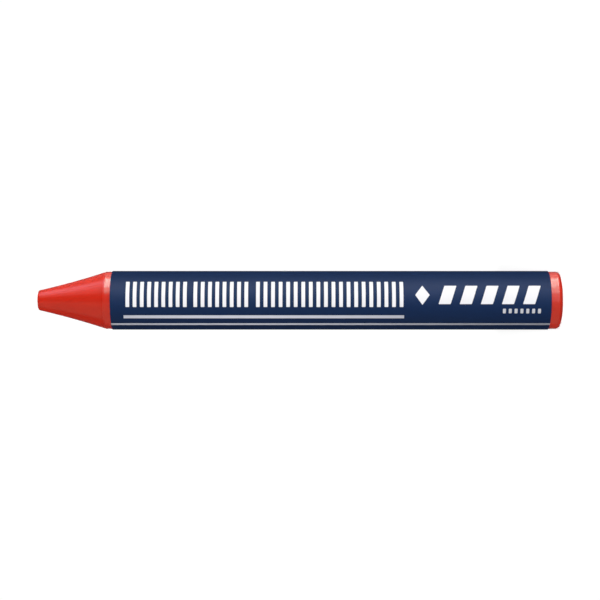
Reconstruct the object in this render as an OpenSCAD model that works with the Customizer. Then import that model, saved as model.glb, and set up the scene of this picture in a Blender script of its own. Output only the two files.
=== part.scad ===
// Round wax marking crayon with a drawn-in taper, a blunt nose and a wound paper sleeve.
// It stands on its flat butt end: +Z runs along the axis to the nose, and the origin is
// the centre of the butt face. All sizes are in millimetres.

/* [Wax stick] */
// Overall length, from the butt face to the nose face
stick_len = 110; // [70:1:180]
// Diameter of the straight part
stick_d = 12.1; // [9:0.1:20]
// Length of the taper, from its shoulder to the nose face
taper_len = 14.4; // [8:0.1:25]
// Diameter of the blunt nose, where the taper would meet the nose face
nose_d = 4.15; // [3:0.05:7]
// How far the taper's outline is drawn in below a straight cone, at half its length
taper_hollow = 0.18; // [0:0.01:0.3]
// Radius of the edge round the nose face
nose_edge_r = 0.5; // [0.1:0.05:0.8]
// Radius that blends the taper into the straight part
shoulder_r = 0.5; // [0.2:0.1:4]
// Radius of the edge round the butt face
butt_edge_r = 0.9; // [0.1:0.05:1.5]

/* [Paper sleeve] */
// Bare wax between the butt face and the sleeve
butt_bare = 2.5; // [1.5:0.1:8]
// Bare wax between the sleeve and the taper's shoulder
shoulder_bare = 1.3; // [0.5:0.1:8]
// Thickness of the glued paper
paper_t = 0.075; // [0.05:0.005:0.15]
// Whole turns of paper round the stick
paper_turns = 2; // [1:1:4]
// Width of the lap, where the outer end of the paper passes its inner end
lap_w = 5; // [2:0.5:8]
// Width over which the paper climbs on to the lap
lap_climb_w = 0.6; // [0.3:0.1:1]

/* [Colours] */
// Colour of the wax, as red, green and blue
wax_colour = [0.82, 0.2, 0.16];
// Colour of the printed paper, as red, green and blue
paper_colour = [0.11, 0.18, 0.31];

/* [Hidden] */
$fn = 128;
edge_steps = 8;
taper_steps = 16;
lap_steps = 4;

stick_r = stick_d / 2;
nose_r = nose_d / 2;
shoulder_z = stick_len - taper_len;

// The taper's outline is a parabola. These are its slopes, radius over length, at its ends.
mean_slope = (stick_r - nose_r) / taper_len;
hollow_slope = 4 * taper_hollow / taper_len;
nose_slope = mean_slope - hollow_slope;
shoulder_slope = mean_slope + hollow_slope;
nose_turn = atan(nose_slope);
shoulder_turn = atan(shoulder_slope);

// Centres of the three round edges, as radius and height
butt_edge_at = [stick_r - butt_edge_r, butt_edge_r];
shoulder_at = [stick_r - shoulder_r, shoulder_z - shoulder_r * tan(shoulder_turn / 2)];
nose_edge_at = [
    nose_r + nose_edge_r * (nose_slope - sqrt(1 + pow(nose_slope, 2))),
    stick_len - nose_edge_r
];

// The straight run of the taper, between the two blends at its ends
taper_from_z = shoulder_at[1] + shoulder_r * sin(shoulder_turn);
taper_to_z = nose_edge_at[1] + nose_edge_r * sin(nose_turn);

sleeve_len = shoulder_z - shoulder_bare - butt_bare;
sleeve_r = stick_r + paper_turns * paper_t;
lap_r = sleeve_r + paper_t;
// The lap is centred on the back of the crayon, at +Y.
lap_angle = lap_w / sleeve_r * 180 / PI;
climb_angle = lap_climb_w / sleeve_r * 180 / PI;
lap_from = 90 - lap_angle / 2;
lap_to = 90 + lap_angle / 2;

function on_circle(r, angle) = r * [cos(angle), sin(angle)];

function arc(centre, r, from, to) = [
    for (i = [0 : edge_steps]) centre + on_circle(r, from + (to - from) * i / edge_steps)
];

// Radius of the taper's outline at a height
function taper_r(z) =
    let (t = (stick_len - z) / taper_len)
    nose_r + (stick_r - nose_r) * t - 4 * taper_hollow * t * (1 - t);

function taper() = [
    for (i = [1 : taper_steps - 1])
        let (z = taper_from_z + (taper_to_z - taper_from_z) * i / taper_steps)
        [taper_r(z), z]
];

// Half the section of the stick, from the centre of the butt round to the nose
function stick_outline() = concat(
    [[0, 0]],
    arc(butt_edge_at, butt_edge_r, -90, 0),
    arc(shoulder_at, shoulder_r, 0, shoulder_turn),
    taper(),
    arc(nose_edge_at, nose_edge_r, nose_turn, 90),
    [[0, stick_len]]
);

// A sector that reaches past the lap
module lap_sector() {
    reach = 1.2 * lap_r;
    polygon(concat(
        [[0, 0]],
        [for (i = [0 : lap_steps]) on_circle(reach, lap_from + lap_angle * i / lap_steps)]
    ));
}

// The section of the wound paper: whole turns, and one more layer over the lap. The outer
// layers climb on to the paper's inner end, and its outer end leaves a small square step.
module paper_section() {
    difference() {
        union() {
            circle(r = sleeve_r);
            intersection() {
                circle(r = lap_r);
                lap_sector();
            }
            polygon([
                on_circle(stick_r, lap_from),
                on_circle(sleeve_r, lap_from - climb_angle),
                on_circle(lap_r, lap_from)
            ]);
        }
        circle(r = stick_r);
    }
}

module wax_stick() {
    color(wax_colour)
        rotate_extrude()
            polygon(stick_outline());
}

module paper_sleeve() {
    color(paper_colour)
        translate([0, 0, butt_bare])
            linear_extrude(height = sleeve_len)
                paper_section();
}

wax_stick();
paper_sleeve();
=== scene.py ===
# %% [markdown]
# # A round wax marking crayon
#
# A marking crayon is a stick of coloured wax, cast in one piece, with a strip of printed paper
# wound round it and glued. This lesson builds both pieces again in fine mesh code, gives them
# their finish and lights them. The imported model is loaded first, because it fixes every size:
# the crayon stands on its butt at the origin, +Z runs to the nose and -Y faces the viewer.

import math

import bpy
from mathutils import Matrix, Vector


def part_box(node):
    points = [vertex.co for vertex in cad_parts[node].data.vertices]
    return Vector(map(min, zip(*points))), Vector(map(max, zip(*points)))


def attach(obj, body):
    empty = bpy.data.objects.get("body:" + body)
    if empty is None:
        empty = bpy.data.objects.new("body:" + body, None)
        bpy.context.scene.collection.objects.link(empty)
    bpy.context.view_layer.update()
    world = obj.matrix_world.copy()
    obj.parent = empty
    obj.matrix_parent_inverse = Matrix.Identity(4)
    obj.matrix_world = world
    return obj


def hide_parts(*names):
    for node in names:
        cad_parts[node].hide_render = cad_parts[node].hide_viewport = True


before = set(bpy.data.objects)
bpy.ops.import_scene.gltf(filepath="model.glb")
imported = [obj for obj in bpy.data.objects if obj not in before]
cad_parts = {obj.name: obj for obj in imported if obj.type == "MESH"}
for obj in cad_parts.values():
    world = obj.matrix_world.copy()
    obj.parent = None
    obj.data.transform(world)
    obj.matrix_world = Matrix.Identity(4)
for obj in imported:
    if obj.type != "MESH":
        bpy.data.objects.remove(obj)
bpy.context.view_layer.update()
print("nodes:", sorted(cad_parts))

# %% [markdown]
# ## Sizes
#
# A maker would measure the stick with a caliper. Here the same sizes are read from the boxes of
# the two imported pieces, in millimetres, so the dressed crayon can't drift from the model. Only
# the sizes that a box doesn't show, such as the width of the paper's lap, are written down.

# %% Read the sizes of the two pieces
MM = 0.001
stick_low, stick_high = (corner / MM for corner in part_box("wax_stick"))
sleeve_low, sleeve_high = (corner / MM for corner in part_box("paper_sleeve"))

stick_len = stick_high.z
stick_r = stick_high.x
sleeve_r = sleeve_high.x
lap_r = sleeve_high.y
paper_from = sleeve_low.z
paper_to = sleeve_high.z

paper_turns = 2
paper_t = (sleeve_r - stick_r) / paper_turns
print(f"stick {stick_len:.1f} long, {2 * stick_r:.2f} across; paper {paper_t:.3f} thick,")
print(f"from {paper_from:.1f} to {paper_to:.1f}, standing out to {lap_r:.3f} on its lap")

# %% [markdown]
# ## Meshes
#
# Both pieces are shapes that a formula gives, so they can be written straight into a mesh: a list
# of points, and for each face its corners and their places on a flat map. The flat map is named
# OFBake. When the finish is baked into pictures, each face gets its own patch of them there.

# %% A helper that makes a mesh object
SHARP_ANGLE = math.radians(34)


def make_object(name, points, faces, places, material_numbers):
    """Makes an object from points in millimetres and from faces with a map place for each corner."""
    mesh = bpy.data.meshes.new(name)
    mesh.from_pydata([Vector(point) * MM for point in points], [], faces)
    flat_map = mesh.uv_layers.new(name="OFBake")
    corners = [place for face_places in places for place in face_places]
    flat_map.data.foreach_set("uv", [number for place in corners for number in place])
    mesh.polygons.foreach_set("material_index", material_numbers)
    mesh.polygons.foreach_set("use_smooth", [True] * len(faces))
    mesh.set_sharp_from_angle(angle=SHARP_ANGLE)
    made = bpy.data.objects.new(name, mesh)
    bpy.context.scene.collection.objects.link(made)
    print(f"{name}: {len(points)} points, {len(faces)} faces")
    return made


def arc(centre, radius, start, end, steps):
    """Points (radius, height) along an arc. The angles are in degrees, and 0 points outwards."""
    turns = [math.radians(start + (end - start) * i / steps) for i in range(steps + 1)]
    return [(centre[0] + radius * math.cos(t), centre[1] + radius * math.sin(t)) for t in turns]


# %% [markdown]
# ## The wax stick's outline
#
# The stick is round, so half its section says everything: the butt face, its round edge of nearly
# a millimetre, the straight side, the shoulder, the taper and the blunt nose. A lathe then turns
# that outline. The taper isn't a straight cone: its side is drawn in by nearly a fifth of a
# millimetre, as the photo shows. Wax shrinks as it sets, so both end faces sink a little in the
# middle.

# %% Draw the outline of the wax
taper_len = 14.4
nose_r = 2.075
taper_hollow = 0.18
nose_edge_r = 0.5
butt_edge_r = 0.9
shoulder_r = 0.5
face_sink = 0.05
butt_rings, nose_rings = 8, 6
butt_edge_steps, shoulder_steps, nose_edge_steps = 14, 8, 10
taper_rows = 40
shoulder_z = stick_len - taper_len

mean_slope = (stick_r - nose_r) / taper_len
hollow_slope = 4 * taper_hollow / taper_len
nose_slope = mean_slope - hollow_slope
nose_turn = math.atan(nose_slope)
shoulder_turn = math.atan(mean_slope + hollow_slope)


def taper_radius(z):
    """Radius of the taper at a height: a straight line less a shallow parabola."""
    t = (stick_len - z) / taper_len
    return nose_r + (stick_r - nose_r) * t - 4 * taper_hollow * t * (1 - t)


def sunk_face(rim_r, z, direction, rings):
    """Points from the centre of an end face to its rim, sunk most in the middle."""
    shares = [i / rings for i in range(rings)]
    return [(rim_r * s, z + direction * face_sink * (1 - s * s) ** 2) for s in shares]


nose_edge_out = nose_r + nose_edge_r * (nose_slope - math.hypot(1, nose_slope))
nose_edge_at = (nose_edge_out, stick_len - nose_edge_r)
shoulder_at = (stick_r - shoulder_r, shoulder_z - shoulder_r * math.tan(shoulder_turn / 2))
taper_from = shoulder_at[1] + shoulder_r * math.sin(shoulder_turn)
taper_to = nose_edge_at[1] + nose_edge_r * math.sin(nose_turn)
taper_run = taper_to - taper_from
taper_heights = [taper_from + taper_run * i / taper_rows for i in range(1, taper_rows)]

butt = sunk_face(stick_r - butt_edge_r, 0, 1, butt_rings)
butt += arc((stick_r - butt_edge_r, butt_edge_r), butt_edge_r, -90, 0, butt_edge_steps)
shoulder = arc(shoulder_at, shoulder_r, 0, math.degrees(shoulder_turn), shoulder_steps)
taper = [(taper_radius(z), z) for z in taper_heights]
nose = arc(nose_edge_at, nose_edge_r, math.degrees(nose_turn), 90, nose_edge_steps)
nose += reversed(sunk_face(nose_edge_out, stick_len, -1, nose_rings))
print(f"shoulder turns {math.degrees(shoulder_turn):.1f} degrees, nose edge {nose[0][0]:.2f} out")

# %% [markdown]
# ## Fine rings on the bare wax
#
# The mould is turned on a lathe, and its cutter leaves fine rings that the wax copies. They show
# best on the short bare bands beside the paper, where the lamp's reflection runs across them.
# They could be painted as bump, but so near an edge a real ripple catches the light better: the
# side of the stick steps in by about a hundredth of a millimetre, and never out.

# %% Add the rings to the straight side
ring_pitch = 0.42
ring_depth = 0.012
rows_a_ring = 6


def ringed_band(start, end):
    """Points along the straight side, with shallow turned rings in it."""
    rows = round((end - start) / ring_pitch * rows_a_ring)
    heights = [start + (end - start) * i / rows for i in range(1, rows)]
    fades = [min(1, (z - start) / ring_pitch, (end - z) / ring_pitch) for z in heights]
    waves = [0.5 - 0.5 * math.cos(math.tau * (z - start) / ring_pitch) for z in heights]
    return [(stick_r - ring_depth * f * w, z) for z, f, w in zip(heights, fades, waves)]


hidden_by = 0.8
butt_band = ringed_band(butt_edge_r, paper_from + hidden_by)
land_band = ringed_band(paper_to - hidden_by, shoulder_at[1])
hidden_rows = 12
hidden_from, hidden_to = butt_band[-1][1], land_band[0][1]
hidden_len = hidden_to - hidden_from
hidden_side = [(stick_r, hidden_from + hidden_len * i / hidden_rows) for i in range(1, hidden_rows)]
print(f"{len(butt_band)} points on the butt's band, {len(land_band)} on the land")

# %% [markdown]
# ## Turning the outline
#
# Blender has a Screw modifier for this, but a short loop can also choose where each stretch lands
# on the flat map. The taper and the land are what one looks at, so they get half of the map, the
# part under the paper gets a thin strip, and each end face gets a disc.

# %% A helper that turns an outline
SEGMENTS = 256
MAP_EDGE = 0.01


def lathe(name, outline, map_rows, disc_rows, disc_places):
    """Turns an outline (radius, height) that starts and ends on the axis.

    map_rows gives a height on the map for each point, and disc_rows the points of each end face,
    which lies on the map as a disc: disc_places has its centre and its radius.
    """
    points, rings = [], []
    for radius, z in outline:
        count = SEGMENTS if radius > 0 else 1
        rings.append(range(len(points), len(points) + count))
        turns = [math.tau * i / count for i in range(count)]
        points += [(radius * math.cos(t), radius * math.sin(t), z) for t in turns]

    def on_disc(row, i):
        first_end = row <= disc_rows[0]
        (u, v, reach), rim = disc_places[not first_end], outline[disc_rows[not first_end]][0]
        size, turn = reach * outline[row][0] / rim, math.tau * i / SEGMENTS
        return (u + size * math.cos(turn), v + size * math.sin(turn))

    def place(row, i, face_is_end):
        across = MAP_EDGE + (1 - 2 * MAP_EDGE) * i / SEGMENTS
        return on_disc(row, i) if face_is_end else (across, map_rows[row])

    faces, places = [], []
    for row in range(len(outline) - 1):
        face_is_end = row < disc_rows[0] or row >= disc_rows[1]
        low, high = rings[row], rings[row + 1]
        for i in range(SEGMENTS):
            after = (i + 1) % SEGMENTS
            if len(low) == 1:
                corners = [(low[0], row, i), (high[after], row + 1, i + 1), (high[i], row + 1, i)]
            elif len(high) == 1:
                corners = [(low[i], row, i), (low[after], row, i + 1), (high[0], row + 1, i)]
            else:
                corners = [(low[i], row, i), (low[after], row, i + 1)]
                corners += [(high[after], row + 1, i + 1), (high[i], row + 1, i)]
            faces.append([number for number, _, _ in corners])
            places.append([place(at, turn, face_is_end) for _, at, turn in corners])
    return make_object(name, points, faces, places, [0] * len(faces))


print("the lathe makes", SEGMENTS, "segments")

# %% Lathe the wax stick
stretches = [butt, butt_band, hidden_side, land_band + shoulder + taper + nose]
outline = [point for stretch in stretches for point in stretch]
starts = [sum(len(stretch) for stretch in stretches[:i]) for i in range(len(stretches))]
side_starts = [butt_rings, starts[2], starts[3], len(outline) - 1 - nose_rings]
map_marks = [0.36, 0.44, 0.48, 0.99]
butt_disc, nose_disc = (0.18, 0.17, 0.16), (0.55, 0.17, 0.16)


def run_length(first, last):
    """Length of the outline between two of its points."""
    pairs = zip(outline[first:last], outline[first + 1:last + 1])
    return sum(math.dist(one, other) for one, other in pairs)


def map_height(row):
    """Height on the map of one point of the outline, even along each of the side's stretches."""
    for part in range(len(map_marks) - 1):
        first, last = side_starts[part], side_starts[part + 1]
        if row <= last:
            share = run_length(first, max(row, first)) / run_length(first, last)
            return map_marks[part] + (map_marks[part + 1] - map_marks[part]) * share
    return map_marks[-1]


wax_stick = lathe(
    "moulded_wax_stick", outline, [map_height(row) for row in range(len(outline))],
    (side_starts[0], side_starts[-1]), (butt_disc, nose_disc),
)

# %% [markdown]
# ## The wound paper
#
# The sleeve is one long strip, wound twice round the stick and a little further, so that its
# outer end laps over its inner end on the back. A plain tube would lose what gives it away as
# paper: the thin layers at both ends, the ridge where the strip climbs over its own first edge,
# and the small step where it stops. So the strip is built as a real wound sheet. A path angle
# runs from the inner end to the outer end, and the sheet lies on as many layers as are beneath.

# %% Lay out the strip's path
lap_w = 5.0
lap_climb_w = 0.6
paper_air = 0.02
lap_angle = math.degrees(lap_w / sleeve_r)
climb_angle = math.degrees(lap_climb_w / sleeve_r)
inner_end_at = 90 - lap_angle / 2
path_end = 360 * paper_turns + lap_angle


def smooth(share):
    """Eases a share between 0 and 1, with no kink at either end."""
    share = min(1, max(0, share))
    return share * share * (3 - 2 * share)


def layers_beneath(path):
    """How many thicknesses of paper lie under the strip at a path angle in degrees."""
    turns = range(1, paper_turns + 1)
    return sum(smooth((path - 360 * turn + climb_angle) / climb_angle) for turn in turns)


def path_stations(step, fine_step):
    """Path angles from end to end, closer together where the strip climbs."""
    stations, path = [], 0.0
    while path < path_end - fine_step / 2:
        stations.append(path)
        near = min(abs(path - 360 * turn + climb_angle / 2) for turn in range(1, paper_turns + 1))
        path += fine_step if near < climb_angle else step
    return stations + [path_end]


step_degrees, climb_step_degrees = 1.5, 0.5
stations = path_stations(step_degrees, climb_step_degrees)
print(f"the strip runs {path_end:.1f} degrees in {len(stations)} stations")

# %% [markdown]
# ## The cut ends of the paper
#
# The strip was cut before it was wound, and no winder lays each turn down exactly over the last,
# so the layers end a few hundredths of a millimetre apart. The blade also presses the edge down.
# In the photo that shows as a thin dark line where the paper meets the wax. Rows of points crowd
# together there, and the outer face dips in at the last of them.

# %% Place the rows from one cut end to the other
press_depth = 0.016
press_reach = 0.16
slow_wander, quick_wander = 0.014, 0.006
butt_end_seed, nose_end_seed = 1, 4
end_rows = [0, 0.01, 0.025, 0.045, 0.07, 0.1, 0.13, 0.16, 0.4, 1.0, 2.4]
middle_rows = 13


def end_wander(path, seed):
    """How far a cut end strays from its line at a path angle, in millimetres."""
    slow = math.sin(math.radians(path * 0.5 + 70 * seed))
    quick = math.sin(math.radians(path * 2.3 + 40 * seed))
    return slow_wander * slow + quick_wander * quick


def pressed_in(gap):
    """How far the outer face is pressed in at a distance from the cut end."""
    return press_depth * (1 - smooth(gap / press_reach))


def row_heights(path):
    """Heights of the rows at a path angle, and how far each lies from its nearer cut end."""
    low = paper_from + end_wander(path, butt_end_seed)
    high = paper_to + end_wander(path, nose_end_seed)
    first, last = low + end_rows[-1], high - end_rows[-1]
    middle = [first + (last - first) * i / middle_rows for i in range(1, middle_rows)]
    heights = [low + gap for gap in end_rows] + middle + [high - gap for gap in reversed(end_rows)]
    return [(z, min(z - low, high - z)) for z in heights]


row_count = len(row_heights(0))
print(f"{row_count} rows on each face of the strip")

# %% Find the place of each point, in space and on the map
outer_turn_from = path_end - 360
hidden_u, hidden_map_w = 0.01, 0.04
outer_u, outer_map_w = 0.06, 0.86
row_spare = 0.1


def ring_of_strip(path):
    """The strip's section at a path angle: up along its outer face, then up along its inner one."""
    turn = math.radians(inner_end_at + path)
    base = stick_r + paper_t * layers_beneath(path)
    outer, inner = [], []
    for z, gap in row_heights(path):
        face_r = base + paper_t * (1 - paper_air) - pressed_in(gap)
        back_r = base + paper_t * paper_air
        outer.append((face_r * math.cos(turn), face_r * math.sin(turn), z))
        inner.append((back_r * math.cos(turn), back_r * math.sin(turn), z))
    return outer + inner


def strip_u(path):
    """Place across the map: the outer turn gets nearly all of it, the hidden turns the rest."""
    if path >= outer_turn_from:
        return outer_u + outer_map_w * (path - outer_turn_from) / 360
    return hidden_u + hidden_map_w * path / outer_turn_from


def row_v(row):
    """Place up the map, in step with the height, with a little to spare at both ends."""
    z, _ = row_heights(0)[row]
    share = (z - paper_from + row_spare) / (paper_to - paper_from + 2 * row_spare)
    return MAP_EDGE + (1 - 2 * MAP_EDGE) * share


print(f"the outer turn starts {outer_turn_from:.1f} degrees along the strip")

# %% Helpers that lay the faces of the strip
PRINTED, CUT_EDGE = 0, 1
faces, places, kinds = [], [], []


def add_face(corners, corner_places, kind):
    """Adds one face of the strip."""
    faces.append(corners)
    places.append(corner_places)
    kinds.append(kind)


def upright(columns, v, next_v):
    """Map places of a face whose first edge runs up the left column."""
    left, right = columns
    return [(left, v), (left, next_v), (right, next_v), (right, v)]


def sideways(columns, v, next_v):
    """Map places of a face whose first edge runs across to the right column."""
    left, right = columns
    return [(left, v), (right, v), (right, next_v), (left, next_v)]


# %% Build the wound sheet
inner_face_u, inner_face_w = 0.935, 0.012
bottom_u, top_u = (0.955, 0.96), (0.965, 0.97)
inner_end_u, outer_end_u = (0.975, 0.98), (0.985, 0.99)
seam_gap = 0.002

points = [point for path in stations for point in ring_of_strip(path)]
rows_v = [row_v(row) for row in range(row_count)]
last_row = row_count - 1
section = 2 * row_count

for at, (path, next_path) in enumerate(zip(stations, stations[1:])):
    here, there = at * section, (at + 1) * section
    u, next_u = strip_u(path), strip_u(next_path)
    if path < outer_turn_from <= next_path:
        u = next_u - seam_gap
    for row in range(last_row):
        v, next_v = rows_v[row], rows_v[row + 1]
        outer = [here + row, there + row, there + row + 1, here + row + 1]
        add_face(outer, sideways((u, next_u), v, next_v), PRINTED)
        inner = [here + row_count + row, here + row_count + row + 1]
        inner += [there + row_count + row + 1, there + row_count + row]
        columns = [inner_face_u + inner_face_w * p / path_end for p in (path, next_path)]
        add_face(inner, upright(columns, v, next_v), CUT_EDGE)
    along, next_along = path / path_end, next_path / path_end
    bottom = [here, here + row_count, there + row_count, there]
    add_face(bottom, sideways(bottom_u, along, next_along), CUT_EDGE)
    top = [here + last_row, there + last_row]
    top += [there + row_count + last_row, here + row_count + last_row]
    add_face(top, upright(top_u, along, next_along), CUT_EDGE)

for row in range(last_row):
    v, next_v = rows_v[row], rows_v[row + 1]
    inner_end = [row, row + 1, row_count + row + 1, row_count + row]
    add_face(inner_end, upright(inner_end_u, v, next_v), CUT_EDGE)
    start = (len(stations) - 1) * section
    outer_end = [start + row, start + row_count + row]
    outer_end += [start + row_count + row + 1, start + row + 1]
    add_face(outer_end, sideways(outer_end_u, v, next_v), CUT_EDGE)

paper_sleeve = make_object("wound_paper_sleeve", points, faces, places, kinds)

# %% [markdown]
# ## Telling the frame what stands for what
#
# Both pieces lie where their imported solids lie, so each takes the place of its own. The crayon
# has no joints, and everything rides on the one body.

# %% Join both pieces to the frame
for piece, node, slot in (
    (wax_stick, "wax_stick", "wax"),
    (paper_sleeve, "paper_sleeve", "printed_paper"),
):
    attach(piece, "root")
    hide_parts(node)
print("pieces on the frame:", wax_stick.name, paper_sleeve.name)

# %% [markdown]
# ## Writing shaders as sums
#
# A material's pattern is arithmetic on positions. Wiring dozens of Math nodes by hand hides it, so
# a small class wraps a node's socket and lets Python's own signs add the Math nodes. Every other
# node comes from one method: its type, its settings, then the values or links of its sockets.

# %% The Value class
class Value:
    """A socket that can stand in a sum. Each sign adds one Math node."""

    def __init__(self, kit, socket):
        self.kit = kit
        self.socket = socket

    def __add__(self, other):
        return self.kit.maths("ADD", self, other)

    def __radd__(self, other):
        return self.kit.maths("ADD", other, self)

    def __sub__(self, other):
        return self.kit.maths("SUBTRACT", self, other)

    def __rsub__(self, other):
        return self.kit.maths("SUBTRACT", other, self)

    def __mul__(self, other):
        return self.kit.maths("MULTIPLY", self, other)

    def __rmul__(self, other):
        return self.kit.maths("MULTIPLY", other, self)

    def __truediv__(self, other):
        return self.kit.maths("DIVIDE", self, other)

    def __abs__(self):
        return self.kit.maths("ABSOLUTE", self)

    def clamped(self):
        return self.kit.maths("ADD", self, 0.0, clamp=True)


# %% The node kit
class NodeKit:
    """The nodes of one material or world."""

    def __init__(self, owner):
        owner.use_nodes = True
        self.tree = owner.node_tree
        self.tree.nodes.clear()

    def node(self, kind, settings=None, sockets=None, out=0):
        """Adds a node, applies its settings, fills its sockets and returns one of its outputs."""
        made = self.tree.nodes.new("ShaderNode" + kind)
        for name, setting in (settings or {}).items():
            setattr(made, name, setting)
        for name, value in (sockets or {}).items():
            if isinstance(value, Value):
                self.tree.links.new(value.socket, made.inputs[name])
            else:
                made.inputs[name].default_value = value
        return Value(self, made.outputs[out]) if made.outputs else None

    def maths(self, operation, *numbers, clamp=False):
        settings = {"operation": operation, "use_clamp": clamp}
        return self.node("Math", settings, dict(enumerate(numbers)))

    def larger(self, one, other):
        return self.maths("MAXIMUM", one, other)

    def mix_colour(self, share, none, full):
        """A colour between two others. Sockets 0, 6 and 7 are the share and the two colours."""
        colours = [value if isinstance(value, Value) else (*value, 1) for value in (none, full)]
        return self.node("Mix", {"data_type": "RGBA"}, {0: share, 6: colours[0], 7: colours[1]}, 2)

    def noise(self, place, scale, detail=2.0, roughness=0.5):
        sockets = {"Vector": place, "Scale": scale, "Detail": detail, "Roughness": roughness}
        return self.node("TexNoise", {}, sockets)

    def place_in_mm(self):
        """The place of a point on the object, in millimetres."""
        place = self.node("TexCoord", out="Object")
        return self.node("VectorMath", {"operation": "SCALE"}, {0: place, "Scale": 1 / MM})

    def stretched(self, place, x, y, z):
        """A place scaled by a different amount along each axis."""
        return self.node("VectorMath", {"operation": "MULTIPLY"}, {0: place, 1: (x, y, z)})

    def finish_with(self, sockets):
        """Ends a material with a Principled shader whose sockets are given."""
        shader = self.node("BsdfPrincipled", {}, sockets)
        self.node("OutputMaterial", {}, {"Surface": shader})


def new_material(name):
    """A new material and its node kit."""
    material = bpy.data.materials.new(name)
    return material, NodeKit(material)


# %% [markdown]
# ## Red wax
#
# Cast marking wax is a strong red with a soft sheen. Light enters it a little, so its shadows stay
# warm: that is a constant share of subsurface scattering with a radius near a millimetre. Where
# the mould touched the straight side the skin is closed, and a strong clear coat gives its gloss.
# On the taper the coat is thin, over wax that is a little smoother. Both were set against the
# highlights in the photo. The colour is slightly uneven, and very fine waves break up the
# reflections.

# %% Make the wax
deep_red, bright_red = (0.49, 0.0165, 0.0055), (0.56, 0.0205, 0.0080)
skin_change_from = shoulder_z - 0.2
skin_change_w = 0.6

wax, kit = new_material("red_marking_wax")
place = kit.place_in_mm()
z = kit.node("SeparateXYZ", {}, {0: place}, 2)

cloud = kit.noise(place, 0.45, 3.0, 0.55)
grain = kit.noise(place, 5.0, 3.0, 0.6)
taper_share = ((z - skin_change_from) / skin_change_w).clamped()

wax_colour = kit.mix_colour(cloud * 0.7 + grain * 0.3, deep_red, bright_red)
flow = kit.noise(kit.stretched(place, 1.0, 1.0, 0.35), 1.1, 2.0, 0.5)
height = flow * 0.7 + grain * 0.18 + kit.noise(place, 16.0, 2.0, 0.6) * 0.06
wax_bump = kit.node("Bump", {}, {"Strength": 1.0, "Distance": 0.02 * MM, "Height": height})

kit.finish_with({
    "Base Color": wax_colour,
    "Roughness": 0.35 - taper_share * 0.13 + grain * 0.06,
    "Coat Weight": 0.9 - taper_share * 0.65,
    "Normal": wax_bump,
    "IOR": 1.5,
    "Specular IOR Level": 0.5,
    "Coat Roughness": 0.14,
    "Coat IOR": 1.5,
    "Subsurface Weight": 0.2,
    "Subsurface Radius": (1.0, 0.25, 0.12),
    "Subsurface Scale": 0.9 * MM,
})
wax_stick.data.materials.append(wax)
print("wax nodes:", len(kit.tree.nodes))

# %% [markdown]
# ## Where the print lies
#
# The paper was printed flat, so its print is laid out in two flat measures: the arc round the
# sleeve from the line that faces the viewer, and the height above the butt. Each shape is a sum
# that says how far inside its edge a point lies, in millimetres. Dividing that by the width of a
# soft edge and clamping it gives a mask, crisp but not jagged, as ink on coated paper is.

# %% Shapes of ink
INK_EDGE = 0.05


class InkKit(NodeKit):
    """A node kit with the flat measures of the paper, and shapes to print on it."""

    def start_print(self):
        place = self.place_in_mm()
        x, y, z = (self.node("SeparateXYZ", {}, {0: place}, out) for out in range(3))
        self.arc = self.maths("ARCTAN2", x, 0 - y) * sleeve_r
        self.z = z
        return place

    def ink(self, inside):
        """A mask from how far inside the edge a point lies."""
        return (inside / INK_EDGE + 0.5).clamped()

    def stripe(self, value, low, high):
        return self.ink((high - low) / 2 - abs(value - (low + high) / 2))

    def block(self, across, up, half_w, half_h, corner):
        """How far inside a rectangle with round corners a point is, from its centre."""
        side = abs(across) - (half_w - corner)
        top = abs(up) - (half_h - corner)
        past_side, past_top = self.larger(side, 0.0), self.larger(top, 0.0)
        reach = self.maths("SQRT", past_side * past_side + past_top * past_top)
        return corner - reach - self.maths("MINIMUM", self.larger(side, top), 0.0)

    def row(self, value, low, high, width, count):
        """Splits a stretch into equal cells, one for each copy: how far a point is from its middle."""
        pitch = (high - low - width) / (count - 1)
        along = (value - (low + width / 2)) / pitch
        number = self.maths("ROUND", self.larger(along, 0.0))
        number = self.maths("MINIMUM", number, count - 1.0)
        return (along - number) * pitch


paper = bpy.data.materials.new("printed_crayon_paper")
kit = InkKit(paper)
place = kit.start_print()
print("the print is laid out over an arc of", round(math.tau * sleeve_r, 1), "mm")

# %% [markdown]
# ## White shapes
#
# The sleeve carries plain white shapes: three groups of upright bars, then a lozenge, five leaning
# blocks and a row of small marks. They could be pieces of mesh laid on the paper, but ink has no
# thickness to speak of, and a sum draws a crisp edge at any distance. The bars are close together,
# so the band looks busy from a step away.

# %% Print the bars
bars_low, bars_high = -1.41, 4.16
bars_mid = (bars_low + bars_high) / 2
bars_half_h = (bars_high - bars_low) / 2
bar_w = 0.77
bar_pitch = 1.53
corner_r = 0.12
group_ends = ((33.3, 63.9), (65.55, 76.9), (78.3, 91.0))


def bar_group(low, high):
    """One group of upright bars, all alike."""
    count = round((high - low - bar_w) / bar_pitch) + 1
    across = kit.row(kit.z, low, high, bar_w, count)
    return kit.ink(kit.block(across, kit.arc - bars_mid, bar_w / 2, bars_half_h, corner_r))


groups = [bar_group(low, high) for low, high in group_ends]
bars = kit.larger(kit.larger(groups[0], groups[1]), groups[2])
print(len(groups), "groups of bars, each bar", bar_w, "mm wide")

# %% Print the blocks, the lozenge and the marks
block_w = 2.5
block_low, block_high = -0.8, 3.16
block_lean = 0.32
block_count = 5
blocks_from, blocks_to = 4.7, 26.0
block_half_h = (block_high - block_low) / 2
up = kit.arc - (block_low + block_high) / 2
leaning = kit.z + up * block_lean
reach = block_half_h * block_lean
across = kit.row(leaning, blocks_from + reach, blocks_to - reach, block_w, block_count)
blocks = kit.ink(kit.block(across, up, block_w / 2, block_half_h, corner_r))

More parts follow.
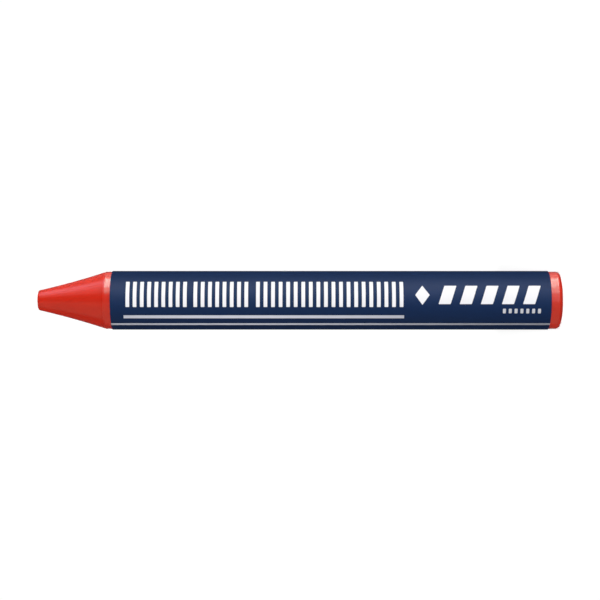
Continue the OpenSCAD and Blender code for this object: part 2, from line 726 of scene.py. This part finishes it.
lozenge_z, lozenge_arc = 29.35, 1.1
lozenge_w, lozenge_h = 3.0, 4.1
lozenge_inside = 1.2
diamond = abs(kit.z - lozenge_z) / (lozenge_w / 2) + abs(kit.arc - lozenge_arc) / (lozenge_h / 2)
lozenge = kit.ink((1 - diamond) * lozenge_inside)

mark_w, mark_half_h, mark_corner_r = 0.62, 0.52, 0.15
mark_count = 7
marks_from, marks_to = 4.7, 12.6
marks_below = 2.3
mark_cover = 0.72
across = kit.row(kit.z, marks_from, marks_to, mark_w, mark_count)
mark = kit.block(across, kit.arc + marks_below, mark_w / 2, mark_half_h, mark_corner_r)
marks = kit.ink(mark) * mark_cover

white = kit.larger(kit.larger(bars, blocks), kit.larger(lozenge, marks))
print("white ink masks:", len(kit.tree.nodes), "nodes")

# %% [markdown]
# ## Silver stripes
#
# Two stripes are printed in silver ink, which is fine metal flake in clear varnish. One underlines
# the bars, and the other runs the whole length of the paper. Silver ink isn't a mirror: it is
# three quarters metallic, with a grey body colour, and its flakes are rough.

# %% Print the silver stripes
under_low, under_high = -4.035, -3.27
under_from, under_to = 33.1, 91.5
long_low, long_high = -6.13, -5.50
dark_flake, light_flake = (0.64, 0.65, 0.73), (0.72, 0.73, 0.81)

under_stripe = kit.stripe(kit.arc, under_low, under_high) * kit.stripe(kit.z, under_from, under_to)
long_stripe = kit.stripe(kit.arc, long_low, long_high)
silver = kit.larger(under_stripe, long_stripe)
flake = kit.noise(place, 14.0, 2.0, 0.6)
silver_colour = kit.mix_colour(flake, dark_flake, light_flake)
print("silver ink added:", len(kit.tree.nodes), "nodes")

# %% [markdown]
# ## Coated paper
#
# Under the print lies a flood of dark blue on thin coated paper. Its fibres press through the
# coating as a faint grain that runs along the strip, and the flood is a little uneven. Each ink
# stands a few thousandths of a millimetre proud. The varnish over it all is satin.

# %% Make the printed paper
deep_navy, light_navy = (0.0044, 0.0160, 0.0560), (0.0060, 0.0205, 0.0690)
thin_white, full_white = (0.73, 0.725, 0.745), (0.78, 0.775, 0.79)

fibres = kit.noise(kit.stretched(place, 1.0, 1.0, 3.0), 2.6, 4.0, 0.6)
cloud = kit.noise(place, 0.5, 2.0, 0.5)
speck = kit.noise(place, 22.0, 2.0, 0.6)
uneven = fibres * 0.5 + cloud * 0.5

navy = kit.mix_colour(uneven, deep_navy, light_navy)
white_colour = kit.mix_colour(uneven, thin_white, full_white)
printed = kit.mix_colour(silver, kit.mix_colour(white, navy, white_colour), silver_colour)

height = fibres * 0.6 + speck * 0.15 + kit.larger(white, silver) * 0.35
paper_bump = kit.node("Bump", {}, {"Strength": 1.0, "Distance": 0.012 * MM, "Height": height})

kit.finish_with({
    "Base Color": printed,
    "Metallic": silver * 0.75,
    "Roughness": 0.56 + fibres * 0.08 - silver * 0.2,
    "Normal": paper_bump,
    "IOR": 1.5,
    "Specular IOR Level": 0.16,
})
paper_sleeve.data.materials.append(paper)
print("paper nodes:", len(kit.tree.nodes))

# %% [markdown]
# ## The cut edge of the paper
#
# Where the blade went through, the paper's own core shows, here a bluish grey. It is only a few
# hundredths of a millimetre wide, but it draws the winding at both ends and the step on the back.

# %% Make the cut edge
dark_core, pale_core = (0.20, 0.22, 0.28), (0.42, 0.43, 0.47)

edge, kit = new_material("paper_core")
place = kit.place_in_mm()
fuzz = kit.noise(place, 9.0, 3.0, 0.65)
edge_bump = kit.node("Bump", {}, {"Strength": 0.8, "Distance": 0.01 * MM, "Height": fuzz})
kit.finish_with({
    "Base Color": kit.mix_colour(fuzz, dark_core, pale_core),
    "Roughness": 0.82 + fuzz * 0.12,
    "Normal": edge_bump,
    "Specular IOR Level": 0.2,
})
paper_sleeve.data.materials.append(edge)

# %% [markdown]
# ## Floor and surroundings
#
# The photo's ground is pure white, with no shadow worth the name. What the camera sees of the
# world and the floor, straight or through glass, is therefore plain white. Mirrored rays see a dim
# room, and so does all the rest: a white one would lay a grey veil over the dark paper and wash
# out the red, which the photo's paper and wax don't have. Part of the floor is a real surface, so
# that it keeps the crayon's shadow. From below the floor is clear.

# %% Light the surroundings
white_seen = 1.02
mirrored_room = 0.06
room = 0.04


def ray_kinds(kit):
    """Two masks: rays that see a thing straight or through glass, and rays that see it mirrored."""
    camera_ray = kit.node("LightPath", out="Is Camera Ray")
    glass_ray = kit.node("LightPath", out="Is Transmission Ray")
    straight = (camera_ray + glass_ray).clamped()
    return straight, kit.node("LightPath", out="Is Glossy Ray") * (1 - straight)


world = bpy.data.worlds.new("white_studio")
bpy.context.scene.world = world
kit = NodeKit(world)
straight, mirrored = ray_kinds(kit)
strength = straight * white_seen + mirrored * mirrored_room + (1 - straight - mirrored) * room
backdrop = kit.node("Background", {}, {"Color": (1, 1, 1, 1), "Strength": strength})
kit.node("OutputWorld", {}, {"Surface": backdrop})
world.cycles.sampling_method = "NONE"

# %% Lay the floor
floor_half = 1.5
real_share = 0.3
card_albedo = 0.85

mesh = bpy.data.meshes.new("floor")
corners = [(-1, -1), (1, -1), (1, 1), (-1, 1)]
mesh.from_pydata([(a * floor_half, b * floor_half, 0) for a, b in corners], [], [(0, 1, 2, 3)])
floor = bpy.data.objects.new("floor", mesh)
bpy.context.scene.collection.objects.link(floor)

floor_paint, kit = new_material("white_floor")
straight, mirrored = ray_kinds(kit)
white_glow = kit.node("Emission", {}, {"Strength": white_seen})
card = kit.node("BsdfDiffuse", {}, {"Color": (card_albedo, card_albedo, card_albedo, 1)})
seen = kit.node("MixShader", {}, {0: real_share, 1: white_glow, 2: card})
dim_glow = kit.node("Emission", {}, {"Strength": room})
mirrored_glow = kit.node("Emission", {}, {"Strength": mirrored_room})
not_seen = kit.node("MixShader", {}, {0: mirrored, 1: dim_glow, 2: mirrored_glow})
facing = kit.node("MixShader", {}, {0: straight, 1: not_seen, 2: seen})
clear = kit.node("BsdfTransparent")
beneath = kit.node("NewGeometry", out="Backfacing")
surface = kit.node("MixShader", {}, {0: beneath, 1: facing, 2: clear})
kit.node("OutputMaterial", {}, {"Surface": surface})
floor_paint.cycles.emission_sampling = "NONE"
floor.data.materials.append(floor_paint)

# %% [markdown]
# ## Even light
#
# Even light from all round shows a colour nearly as it is written. A white world would give it, but
# it would also be mirrored in the wax. Two suns, each as wide as half the sky, give the same light
# and can be kept out of reflections. Each piece has a pair of its own, stronger on the wax than on
# the paper. When two pairs reached one piece, the same script didn't always render the same, and
# with one pair it did. The floor shades no lamp, because a white table would send up as much light
# as it stops: only the crayon's own pieces cast shadows. The floor has a small sun of its own,
# high on the viewer's side, so the shadow falls behind the crayon.

# %% Hang the wide suns and the floor's sun
paper_light = 0.50
wax_light = 0.77
HALF_SKY = math.radians(180)
SUN_DISTANCE = 500


def linked(name, objects):
    """A collection that only tells a lamp which objects it deals with."""
    group = bpy.data.collections.new(name)
    for thing in objects:
        group.objects.link(thing)
    return group


pieces = linked("pieces_of_the_crayon", (wax_stick, paper_sleeve))


def hang(name, data, outward, distance, height, lit):
    """Hangs a lamp that faces the axis and lights some objects. The camera doesn't see it."""
    lamp = bpy.data.objects.new(name, data)
    bpy.context.scene.collection.objects.link(lamp)
    spot = outward * distance + Vector((0, 0, height))
    turned = outward.to_track_quat("Z", "X").to_matrix().to_4x4()
    lamp.matrix_world = Matrix.Translation(spot * MM) @ turned
    lamp.visible_camera = False
    lamp.light_linking.blocker_collection = pieces
    lamp.light_linking.receiver_collection = linked(name + "_lights", lit)
    return lamp


def wide_suns(name, strength, lit):
    """Two suns that light some objects evenly from all round."""
    for half, side in (("front", -1), ("back", 1)):
        data = bpy.data.lights.new(f"{name}_{half}", "SUN")
        data.angle = HALF_SKY
        data.energy = math.pi * strength
        data.cycles.use_multiple_importance_sampling = False
        sun = hang(data.name, data, Vector((0, side, 0)), SUN_DISTANCE, 0, lit)
        sun.visible_glossy = False


wide_suns("paper_sky", paper_light, (paper_sleeve,))
wide_suns("wax_sky", wax_light, (wax_stick,))

sun_elevation = math.radians(42)
sun_width = math.radians(4.5)
sun_data = bpy.data.lights.new("floor_sun", "SUN")
sun_data.angle = sun_width
sun_data.energy = white_seen * math.pi / (card_albedo * math.sin(sun_elevation))
high_in_front = Vector((0, -math.cos(sun_elevation), math.sin(sun_elevation)))
hang("floor_sun", sun_data, high_in_front, SUN_DISTANCE, 0, (floor,))
print("even light:", paper_light, "on the paper and", wax_light, "on the wax")

# %% [markdown]
# ## Softboxes
#
# The photo looks lit by one broad lamp above and to the front, which draws the long sheen along
# the crayon, and by a weak fill from below. Each softbox is a rectangular lamp whose place is given by
# its angle round the crayon's axis, 0 at the viewer and positive towards the photo's top. A lamp
# is either a glow, which only lights, or a sheen, which is only mirrored, so that each can be set
# by itself, as a photographer does with flags and diffusers. On the wax the broad lamp is made of
# several, for the straight side, its upper edge and the taper. The strong ones are tinted low in
# red, because the wax is near its brightest in red there already, and some weak ones are pink or
# yellow, all set against the photo. Narrow ones behind draw a sheen down the back.

# %% Hang the softboxes
LAMP_DISTANCE = 400
WATTS_A_RADIANCE = 4


def softbox(name, angle, width, height, length, radiance, lights, glow, colour=(1, 1, 1)):
    """A rectangular lamp that faces the axis. Sizes are in millimetres, the angle in degrees."""
    data = bpy.data.lights.new(name, "AREA")
    data.shape = "RECTANGLE"
    data.size = length * MM
    data.color = colour
    data.size_y = width * MM
    data.energy = WATTS_A_RADIANCE * width * length * MM * MM * radiance
    turn = math.radians(angle)
    outward = Vector((math.sin(turn), -math.cos(turn), 0))
    lamp = hang(name, data, outward, LAMP_DISTANCE, height, lights)
    lamp.visible_glossy = not glow
    lamp.visible_diffuse = glow
    data.cycles.use_multiple_importance_sampling = not glow
    print(f"{name}: {data.energy:.2f} W at {angle} degrees")


GLOW, SHEEN = True, False
cool, blue = (0.45, 1, 0.92), (0.38, 0.74, 1)
pink, yellow = (1, 0.75, 0.75), (1, 1, 0.8)
softbox("wax_glow", 66, 380, 60, 400, 2.9, (wax_stick,), GLOW)
softbox("wax_low_glow", -80, 400, 60, 400, 0.4, (wax_stick,), GLOW)
softbox("wax_sheen", 77, 300, 40, 300, 4.4, (wax_stick,), SHEEN, cool)
softbox("edge_sheen", 112, 190, 40, 300, 0.5, (wax_stick,), SHEEN, cool)
softbox("wax_mid_sheen", 44, 210, 20, 300, 1.9, (wax_stick,), SHEEN, cool)
softbox("wide_sheen", 67, 520, 200, 700, 0.6, (wax_stick,), SHEEN, pink)
softbox("far_sheen", 125, 400, 200, 700, 0.15, (wax_stick,), SHEEN)
softbox("taper_sheen", 74, 310, 270, 220, 1.3, (wax_stick,), SHEEN, blue)
softbox("butt_sheen", 15, 315, -80, 110, 0.9, (wax_stick,), SHEEN)
softbox("wax_low_sheen", -58, 1000, -20, 400, 0.22, (wax_stick,), SHEEN, yellow)
softbox("taper_low_sheen", -50, 700, 400, 420, 0.25, (wax_stick,), SHEEN, yellow)
softbox("paper_glow", 28, 300, 60, 500, 2.7, (paper_sleeve,), GLOW)
softbox("paper_sheen", 48, 350, 60, 500, 5.0, (paper_sleeve,), SHEEN)
softbox("paper_low_sheen", -75, 560, 80, 120, 1.2, (paper_sleeve,), SHEEN)
softbox("back_glow", 180, 400, 60, 500, 1.5, (wax_stick, paper_sleeve), GLOW)
softbox("back_sheen", 180, 110, 60, 500, 4.0, (wax_stick,), SHEEN)
softbox("paper_back_sheen", 180, 80, 60, 500, 30.0, (paper_sleeve,), SHEEN)

# %% [markdown]
# ## The camera
#
# The photo looks square at the middle of the crayon from a little over a third of a metre, with
# the nose to the left. The crayon stands upright here, so the camera is rolled: its right is the
# way down to the butt. Its distance comes from the curved ends of the paper and of the butt.

# %% Set up the camera
PICTURE = 600
MM_A_PIXEL = 0.2113
SENSOR = 36
butt_pixel = 559.2
camera_distance = 350
camera_aside = 0.06

camera_data = bpy.data.cameras.new("camera")
camera_data.sensor_width = SENSOR
camera_data.lens = SENSOR * camera_distance / (PICTURE * MM_A_PIXEL)
camera_data.clip_start = 10 * MM
camera_data.clip_end = 10
camera = bpy.data.objects.new("camera", camera_data)
bpy.context.scene.collection.objects.link(camera)
eye = Vector((camera_aside, -camera_distance, (butt_pixel - PICTURE / 2) * MM_A_PIXEL))
turned = Matrix(((0, 0, -1), (1, 0, 0), (0, -1, 0))).transposed().to_4x4()
camera.matrix_world = Matrix.Translation(eye * MM) @ turned
bpy.context.scene.camera = camera
bpy.context.scene.view_settings.view_transform = "Standard"
print(f"lens {camera_data.lens:.1f} mm, eye {eye.z:.1f} mm above the floor")

# %% [markdown]
# ## Finish
#
# Last, the view layer is brought up to date.

# %% Finish
bpy.context.view_layer.update()
